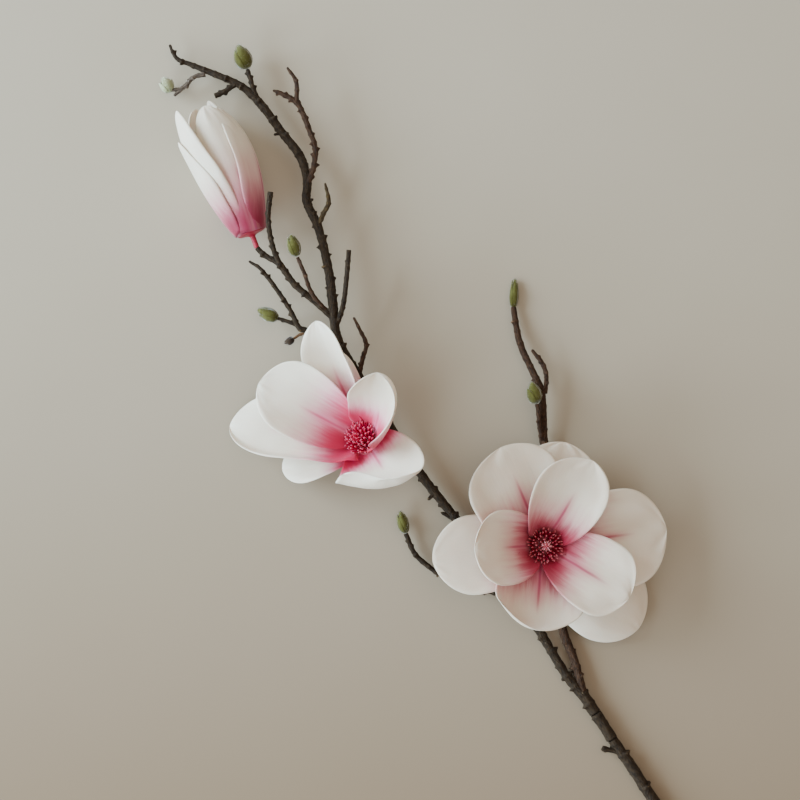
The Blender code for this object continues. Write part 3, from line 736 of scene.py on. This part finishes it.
def sheet_faces(rows, columns, first=0):
    """Faces of a thin closed sheet: rows of its upper places, as many under them, and the rim."""
    wide = columns + 1
    size = (rows + 1) * wide
    faces = []
    for i in range(rows):
        for k in range(columns):
            a = first + i * wide + k
            faces.append((a, a + 1, a + wide + 1, a + wide))
            faces.append((a + size, a + size + wide, a + size + wide + 1, a + size + 1))
    rim = [i * wide for i in range(rows + 1)]
    rim += [rows * wide + k for k in range(1, wide)]
    rim += [i * wide + columns for i in range(rows - 1, -1, -1)]
    rim += list(range(columns - 1, 0, -1))
    for here, after in zip(rim, rim[1:] + rim[:1]):
        faces.append((first + here, first + after, first + size + after, first + size + here))
    return faces


def petal(flower, seat, axis, row, whorls, shape, material, seed):
    """A thin cupped petal with a fluted, slightly rolled rim, closed all round."""
    name, whorl, azimuth, length, width, rise, cup, rib_length, own_habit = row
    start, up = whorls[whorl]
    habit = {**PLAIN_HABIT, **shape, "start": start, "up": up, **own_habit}
    dice = random.Random(seed)
    shift = Vector((dice.uniform(0, 90), dice.uniform(0, 90), 0))
    zero, ninety = flower_axes(axis)
    upper, under = [], []
    from_foot, off_rib, to_rim, rib_share = [], [], [], []
    for s, radius, height in petal_spine(length, rise, habit["start"], habit["up"]):
        turn = radians(azimuth + habit["sweep"] * s * s)
        outward = around(turn, zero, ninety)
        across = axis.cross(outward)
        slope = rise_at(rise, s)
        normal = cos(slope) * axis - sin(slope) * outward
        along = cos(slope) * outward + sin(slope) * axis
        twist = Quaternion(along, radians(habit["twist"]) * s)
        across, normal = twist @ across, twist @ normal
        half = outline(s, habit["base"], habit["belly"], habit["point"]) * width / 2
        body_share = 2 * half / width
        for k in range(PETAL_COLUMNS + 1):
            t = 2 * k / PETAL_COLUMNS - 1
            reach = t * half * (1 + habit["skew"] * t)
            bend, sideways, lift = petal_bend(reach, slope, radius, cup, width / 2)
            for wave in petal_waves(t, s, shift, habit["flute"], body_share):
                lift += wave
            curl = habit["right_curl"] if t > 0 else habit["left_curl"]
            edge = soft_step(abs(t), 0.55, 1.0) ** 2 * soft_step(s, 0.08, 0.35) * body_share
            lift += curl * edge
            sideways -= CURL_DRAW_IN * curl * edge * (1 if t > 0 else -1)
            lift += habit["tip_curl"] * soft_step(s, 0.72, 1.0) ** 2
            facing = cos(bend) * normal - sin(bend) * across
            place = seat + radius * outward + height * axis + sideways * across + lift * normal
            border = max(soft_step(abs(t), 0.9, 1.0), soft_step(s, 0.96, 1.0))
            thick = PETAL_MIDDLE_THICKNESS + (PETAL_RIM_THICKNESS - PETAL_MIDDLE_THICKNESS) * border
            upper.append(place + facing * thick / 2)
            under.append(place - facing * thick / 2)
            from_foot.append(s * length / habit["spray"])
            rib_share.append(s * length / rib_length)
            off_rib.append(reach)
            to_rim.append(min(1 - abs(t), 1 - s))
    attributes = {
        "from_foot": from_foot * 2,
        "off_rib": off_rib * 2,
        "to_rim": to_rim * 2,
        "rib_share": rib_share * 2,
        "seed": [seed * 3.7] * (2 * len(upper)),
    }
    node = f"{flower}_petal_{name}"
    faces = sheet_faces(PETAL_ROWS, PETAL_COLUMNS)
    piece = add_piece(node + "_foam", upper + under, faces, material, attributes)
    kept_on_frame(piece, node)


def petals(flower, seat, axis, rows, whorls, shape, material, slot, seed):
    """All petals of a flower, from the rows of its table."""
    for k, row in enumerate(rows):
        petal(flower, seat, axis, row, whorls, shape, material, seed + k)


def strand(places, faces, alongs, route, widths, sides=6):
    """Adds one closed fine strand through a route, with its width at each point."""
    line = smooth_line([Vector((*place, width)) for place, width in zip(route, widths)], STRAND_STEPS)
    first = len(places)
    side = None
    for i, point in enumerate(line):
        ahead, behind = line[min(i + 1, len(line) - 1)], line[max(i - 1, 0)]
        tangent = (ahead.to_3d() - behind.to_3d()).normalized()
        side = carried_side(side, tangent)
        other = tangent.cross(side)
        for k in range(sides):
            out = around(2 * pi * k / sides, side, other)
            places.append(point.to_3d() + out * max(point[3], LEAST_STRAND_WIDTH) / 2)
            alongs.append(i / (len(line) - 1))
    faces.extend(tuple(first + corner for corner in face) for face in ring_faces(len(line), sides))


def stamens(flower, seat, axis, material, lean, seed):
    """A crown of curled stamens, which lean together."""
    dice = random.Random(seed)
    zero, ninety = flower_axes(axis)
    places, faces, alongs = [], [], []
    for foot_radius, tip_radius, tip_height, number in CROWN_RINGS:
        start = dice.uniform(0, 2 * pi)
        for k in range(number):
            turn = start + 2 * pi * (k + dice.uniform(-0.3, 0.3)) / number
            out = around(turn, zero, ninety)
            swirl = axis.cross(out) * dice.uniform(-1.0, 1.0)
            top = tip_height * dice.uniform(0.88, 1.1)
            tip = tip_radius * dice.uniform(0.92, 1.06)
            lower, upper = foot_radius * 0.6 + tip * 0.4, foot_radius * 0.15 + tip * 0.85
            route = [
                seat + out * foot_radius + axis * STAMEN_FOOT,
                seat + out * lower + axis * top * 0.62 + swirl * 0.4 + lean * 0.3,
                seat + out * upper + axis * top * 0.98 + swirl + lean * 0.8,
                seat + out * tip + axis * (top * 0.9 + 0.3) + swirl * 1.3 + lean,
            ]
            strand(places, faces, alongs, route, STAMEN_WIDTHS)
    piece = add_piece(flower + "_stamens_crown", places, faces, material, {"along": alongs})
    kept_on_frame(piece, flower + "_stamens")


def pistil(flower, seat, axis, material, seed):
    """A pale spindle that splits into short curled stigmas."""
    dice = random.Random(seed)
    zero, ninety = flower_axes(axis)
    places, faces, alongs = [], [], []
    spindle = [seat + axis * height for height in SPINDLE_HEIGHTS]
    strand(places, faces, alongs, spindle, SPINDLE_WIDTHS, 12)
    alongs[:] = [0.2 * value for value in alongs]
    for level, number, spread in STIGMA_ROUNDS:
        start = dice.uniform(0, 2 * pi)
        for k in range(number):
            out = around(start + 2 * pi * k / number, zero, ninety)
            curl = axis.cross(out) * dice.uniform(-0.5, 0.5)
            route = [
                seat + axis * level + out * 0.8,
                seat + axis * (level + 1.3) + out * spread * 0.55 + curl * 0.5,
                seat + axis * (level + 1.9) + out * spread * 0.9 + curl,
                seat + axis * (level + 1.5) + out * spread * 1.15 + curl * 1.5,
            ]
            strand(places, faces, alongs, route, STIGMA_WIDTHS)
    piece = add_piece(flower + "_pistil_stigmas", places, faces, material, {"along": alongs})
    kept_on_frame(piece, flower + "_pistil")


def turned(places, faces, profile, seat, axis, sides):
    """Adds a closed turned body whose profile starts and ends on the axis."""
    zero, ninety = flower_axes(axis)
    starts, counts = [], []
    for radius, height in profile:
        starts.append(len(places))
        count = 1 if radius == 0 else sides
        counts.append(count)
        for k in range(count):
            places.append(seat + axis * height + around(2 * pi * k / sides, zero, ninety) * radius)
    for i in range(len(profile) - 1):
        for k in range(sides):
            corners = [
                starts[i] + k % counts[i], starts[i] + (k + 1) % counts[i],
                starts[i + 1] + (k + 1) % counts[i + 1], starts[i + 1] + k % counts[i + 1],
            ]
            faces.append(tuple(dict.fromkeys(corners)))


def smooth_profile(profile):
    """More points on the smooth line through a profile's points. Its two ends stay on the axis."""
    line = smooth_line([Vector(point) for point in profile], PROFILE_STEPS)
    inner = [(max(radius, 0.0), height) for radius, height in line[1:-1]]
    return [(0.0, line[0][1]), *inner, (0.0, line[-1][1])]


def receptacle(flower, seat, axis, stalk_foot, material):
    """The dyed heart of a flower, which the petals are glued to, on its stalk."""
    places, faces = [], []
    turned(places, faces, smooth_profile(RECEPTACLE_PROFILE), seat, axis, TURNED_SIDES)
    foot, neck = Vector(stalk_foot), seat - 5.0 * axis
    stalk = [foot, (foot + neck) / 2 - 1.0 * axis, neck, seat - 3.6 * axis]
    strand(places, faces, [], stalk, STALK_WIDTHS, 16)
    piece = add_piece(flower + "_receptacle_heart", places, faces, material)
    kept_on_frame(piece, flower + "_receptacle")


def closed_peg(material):
    """The plain dyed peg of the closed flower and the cup that its petals are glued to."""
    places, faces = [], []
    turned(places, faces, smooth_profile(PEG_PROFILE), CLOSED_SEAT, CLOSED_AXIS, TURNED_SIDES)
    piece = add_piece("closed_flower_peg_dyed", places, faces, material)
    kept_on_frame(piece, "closed_flower_peg")


def bud_radius(share):
    """An egg's radius at share of its length, as a share of half its width."""
    return sin(pi * share ** 0.78) ** 0.72 if 0 < share < 1 else 0.0


def bud_scale(places, ups, foot, along, length, width, j, spread, dice, seed):
    """Adds the places of one pointed scale that wraps round a bud, loose at its tip."""
    zero, ninety = flower_axes(along)
    middle_turn = j * 2.4 + dice.uniform(-0.2, 0.2)
    start, stop = 0.04 + 0.05 * (j % 3), dice.uniform(0.72, 0.98) - 0.06 * (j % 2)
    half_angle = dice.uniform(1.0, 1.35)
    for layer in (0, 1):
        for i in range(SCALE_ROWS + 1):
            grow = i / SCALE_ROWS
            share = start + (stop - start) * i / SCALE_ROWS
            narrow = half_angle * (1 - grow ** 2.2) ** 0.6 + 0.02
            for k in range(SCALE_COLUMNS + 1):
                t = 2 * k / SCALE_COLUMNS - 1
                out = around(middle_turn + t * narrow, zero, ninety)
                loose = 0.16 + 0.1 * j + 0.5 * grow ** 3 * (1 + spread) - 0.1 * abs(t)
                radius = bud_radius(min(share, 0.97)) * width * BUD_CORE + loose - 0.3 * layer
                bow = 0.14 * noise.noise(Vector((t * 2, grow * 3, seed + j)))
                places.append(foot + along * share * length + out * max(radius + bow, 0.05))
                ups.append(share)


def bud_hair(places, faces, ups, foot, along, length, width, dice):
    """Adds one short hair of down, as a thin spike that lies towards the tip of the bud."""
    share = dice.uniform(0.03, 0.98)
    out = around(dice.uniform(0, 2 * pi), *flower_axes(along))
    root = foot + along * share * length + out * (bud_radius(share) * width * BUD_CORE + 0.25)
    lay = (out + along * dice.uniform(0.3, 1.2)).normalized()
    tip = root + lay * dice.uniform(0.45, 0.95)
    side = lay.orthogonal().normalized() * DOWN_THICKNESS
    other = lay.cross(side)
    first = len(places)
    places.extend([root + side, root - side * 0.5 + other * 0.87, root - side * 0.5 - other * 0.87, tip])
    ups.extend([1.0] * 4)
    faces.extend([(first, first + 2, first + 1), (first, first + 1, first + 3)])
    faces.extend([(first + 1, first + 2, first + 3), (first + 2, first, first + 3)])


def bud(name, foot_tip_width, material, seed, scales=5, down=300, spread=0.0):
    """A bud of overlapping pointed scales over a core, with short down all over it."""
    dice = random.Random(seed)
    foot, tip, width = Vector(foot_tip_width[0]), Vector(foot_tip_width[1]), foot_tip_width[2]
    along = (tip - foot).normalized()
    foot -= BUD_BEDDING * along
    length = (tip - foot).length
    places, faces = [], []
    shares = [k / BUD_RINGS for k in range(BUD_RINGS + 1)]
    egg = [(bud_radius(share) * width * BUD_CORE, share * length) for share in shares]
    turned(places, faces, egg, foot, along, BUD_SIDES)
    ups = [min(1, max(0, (place - foot).dot(along) / length)) for place in places]
    for j in range(scales):
        faces.extend(sheet_faces(SCALE_ROWS, SCALE_COLUMNS, len(places)))
        bud_scale(places, ups, foot, along, length, width, j, spread, dice, seed)
    for _ in range(down):
        bud_hair(places, faces, ups, foot, along, length, width, dice)
    piece = add_piece(name + "_scales", places, faces, material, {"up_bud": ups})
    kept_on_frame(piece, name)


def build_bark():
    """The moulded pieces of the branch, from its cut end up."""
    dark, red, pale, golden, thin = (bark_finish(*row) for row in BARKS)
    twig(
        "lower_stem", LOWER_STEM, dark, 11, (17, 0.7), flare=0.0, arm=LOWER_STUB,
        spurs=[
            ((146.5, -229, 4.4), (1, 0.2, 0.1), 3.4, 2.6),
            ((121.5, -208.6, 5.3), (-1, 0.5, 0.2), 1.4, 2.0),
        ],
    )
    twig("stem_sleeve", STEM_SLEEVE, dark, 12, (30, 0.3), flare=0.0)
    twig(
        "left_stem", LEFT_STEM, dark, 13, (15, 0.7), flare=0.0, tip="round",
        spurs=[
            ((107, -172, 5.0), (1, 0.6, 0.2), 3.6, 2.8), ((99.5, -166, 4.6), (-1, -0.4, 0.1), 3.4, 2.8),
            ((19.5, -56.4, 7.0), (-0.8, -0.9, 0.2), 4.4, 2.2),
            ((30.5, -70, 5.8), (-1, 0.5, 0.2), 7.0, 2.4),
        ],
    )
    twig(
        "upper_stem", UPPER_STEM, dark, 14, (12, 0.65), flare=0.0, tip="round",
        spurs=[
            ((-44, 52, 15.5), (-0.6, 1.0, 0.2), 6.0, 1.8), ((-80, 172, 11.4), (-1, 0.6, 0.2), 3.2, 1.8),
            ((-72, 158, 12.8), (-1, -0.3, 0.2), 3.0, 1.8), ((-54.6, 117, 16.6), (1, 0.5, 0.3), 4.0, 2.2),
        ],
    )
    twig("right_stem", RIGHT_STEM, red, 15, (13, 0.6), flare=0.1, tip="round")
    twig("right_stem_twig", RIGHT_STEM_TWIG, red, 16, (6, 0.5), flare=0.35, tip="round")
    twig("fifth_bud_twig", FIFTH_BUD_TWIG, red, 17, (8, 0.4), flare=0.35)
    twig(
        "sixth_bud_twig", SIXTH_BUD_TWIG, dark, 18, (9, 0.5),
        spurs=[((9, -92, 4.8), (-1, 0.4, 0.2), 2.4, 1.5), ((23, -103.6, 3.8), (-0.4, -1, 0.2), 2.6, 1.5)],
    )
    twig("crown_left_twig", CROWN_LEFT_TWIG, pale, 19, (6, 0.45), arm=CROWN_LEFT_STUB, tip="round")
    twig("crown_stub_twig", CROWN_STUB_TWIG, dark, 20, (6, 0.45))
    twig("crown_bud_twig", CROWN_BUD_TWIG, dark, 21, (7, 0.4))
    twig("upper_twig", UPPER_TWIG, red, 22, (8, 0.6), arm=UPPER_TWIG_FORK, tip="round")
    twig("golden_twig", GOLDEN_TWIG, golden, 23, (7, 0.5), tip="round")
    twig("closed_flower_twig", CLOSED_FLOWER_TWIG, dark, 24, (9, 0.55), flare=0.25, arm=CLOSED_TWIG_ARM)
    twig("second_bud_twig", SECOND_BUD_TWIG, red, 25, (9, 0.4))
    twig("side_twig", SIDE_TWIG, dark, 26, (9, 0.5), tip="round")
    twig("third_bud_stalk", THIRD_BUD_STALK, dark, 27, (8, 0.3))
    twig("dark_bud_stalk", DARK_BUD_STALK, thin, 28, (9, 0.25))
    twig("tall_right_twig", TALL_RIGHT_TWIG, dark, 29, (8, 0.5))
    twig("small_right_twig", SMALL_RIGHT_TWIG, red, 30, (7, 0.55), tip="round")


def build_buds():
    """The seven downy buds and the small bare one."""
    olive = down_finish("olive_down", (0.058, 0.052, 0.008), (0.18, 0.185, 0.055))
    pale = down_finish("pale_down", (0.28, 0.30, 0.16), (0.66, 0.68, 0.50))
    brown = down_finish("brown_scales", (0.020, 0.012, 0.008), (0.09, 0.06, 0.04))
    bud("top_bud", TOP_BUD, olive, 41)
    bud("curled_bud", CURLED_BUD, pale, 42, spread=2.0)
    bud("second_bud", SECOND_BUD, olive, 43)
    bud("third_bud", THIRD_BUD, olive, 44)
    bud("right_tip_bud", RIGHT_TIP_BUD, olive, 45)
    bud("fifth_bud", FIFTH_BUD, olive, 46)
    bud("sixth_bud", SIXTH_BUD, olive, 47)
    bud("dark_bud", DARK_BUD, brown, 48, scales=4, down=0)


def build_flowers():
    """The three flowers, each with its own sprayed foam, and the dyed hearts that they are glued to."""
    # Painted shade: the large flower's whites are a darker copy of WHITE and WHITE_SHADE, for a flower that
    # sits in shade.
    large_foam = petal_finish(
        "large_flower_foam", (0.33, 0.003, 0.032), (5.0, 21.0), (0.58, 0.16, 0.21), (8.0, 34.0),
        (0.77, 0.665, 0.545), (0.69, 0.575, 0.455), (0.36, 0.012, 0.07),
    )
    middle_foam = petal_finish(
        "middle_flower_foam", (0.49, 0.003, 0.058), (9.0, 29.0), (0.70, 0.21, 0.32), (11.0, 44.0),
        WHITE, WHITE_SHADE, (0.50, 0.03, 0.11),
    )
    closed_foam = petal_finish(
        "closed_flower_foam", (0.27, 0.008, 0.045), (4.0, 32.0), (0.54, 0.17, 0.22), (10.0, 60.0),
        WHITE, WHITE_SHADE, (0.34, 0.02, 0.10),
    )
    dyed = heart_finish("dyed_heart", (0.27, 0.003, 0.024), (0.38, 0.006, 0.040))
    dark_strands = strand_finish("dark_stamens", (0.36, 0.006, 0.035), (0.72, 0.22, 0.26), (0.5, 1.0))
    bright_strands = strand_finish("bright_stamens", (0.46, 0.004, 0.050), (0.64, 0.12, 0.20), (0.5, 1.0))
    pale_strands = strand_finish("pale_stigmas", (0.48, 0.05, 0.09), (0.76, 0.28, 0.32), (0.05, 0.6))
    large = "large_flower", LARGE_SEAT, LARGE_AXIS
    middle = "middle_flower", MIDDLE_SEAT, MIDDLE_AXIS
    closed = "closed_flower", CLOSED_SEAT, CLOSED_AXIS
    petals(*large, LARGE_PETALS, OPEN_WHORLS, LARGE_OUTLINE, large_foam, "petal_open", 60)
    petals(*middle, MIDDLE_PETALS, OPEN_WHORLS, MIDDLE_OUTLINE, middle_foam, "petal_open", 80)
    petals(*closed, CLOSED_PETALS, CLOSED_WHORLS, CLOSED_OUTLINE, closed_foam, "petal_closed", 100)
    receptacle(*large, LARGE_STALK_FOOT, dyed)
    receptacle(*middle, MIDDLE_STALK_FOOT, dyed)
    closed_peg(dyed)
    stamens(*large, dark_strands, Vector((0, 0, 0)), 120)
    stamens(*middle, bright_strands, Vector((1.0, 1.6, 0.0)), 121)
    pistil(*large, pale_strands, 122)
    pistil(*middle, bright_strands, 123)


def build_studio():
    """The pale table, the soft light and the camera straight above."""
    half = FLOOR_SIDE / 2
    square = (-half, -half), (half, -half), (half, half), (-half, half)
    corners = [Vector((x, y, 0)) - PLACE for x, y in square]
    floor = add_piece("pale_table_top", corners, [(0, 1, 2, 3)], floor_finish())

    world = bpy.data.worlds.new("soft_room")
    world.use_nodes = True
    world.node_tree.nodes["Background"].inputs["Color"].default_value = (1.0, 0.90, 0.78, 1.0)
    world.node_tree.nodes["Background"].inputs["Strength"].default_value = 0.58
    bpy.context.scene.world = world

    for name, place, side, power, colour in LIGHTS:
        lamp = bpy.data.lights.new(name, "AREA")
        lamp.shape = "SQUARE"
        lamp.size = side * MM
        lamp.energy = power
        lamp.color = colour
        light = bpy.data.objects.new(name, lamp)
        light.location = Vector(place) * MM
        light.rotation_euler = (-Vector(place)).to_track_quat("-Z", "Y").to_euler()
        bpy.context.scene.collection.objects.link(light)

    lens = bpy.data.cameras.new("camera")
    lens.lens = 85
    lens.sensor_width = 36
    lens.clip_end = 50
    camera = bpy.data.objects.new("camera", lens)
    camera.location = Vector((PLACE.x, PLACE.y, CAMERA_HEIGHT)) * MM
    bpy.context.scene.collection.objects.link(camera)
    bpy.context.scene.camera = camera


build_bark()
build_buds()
build_flowers()
build_studio()
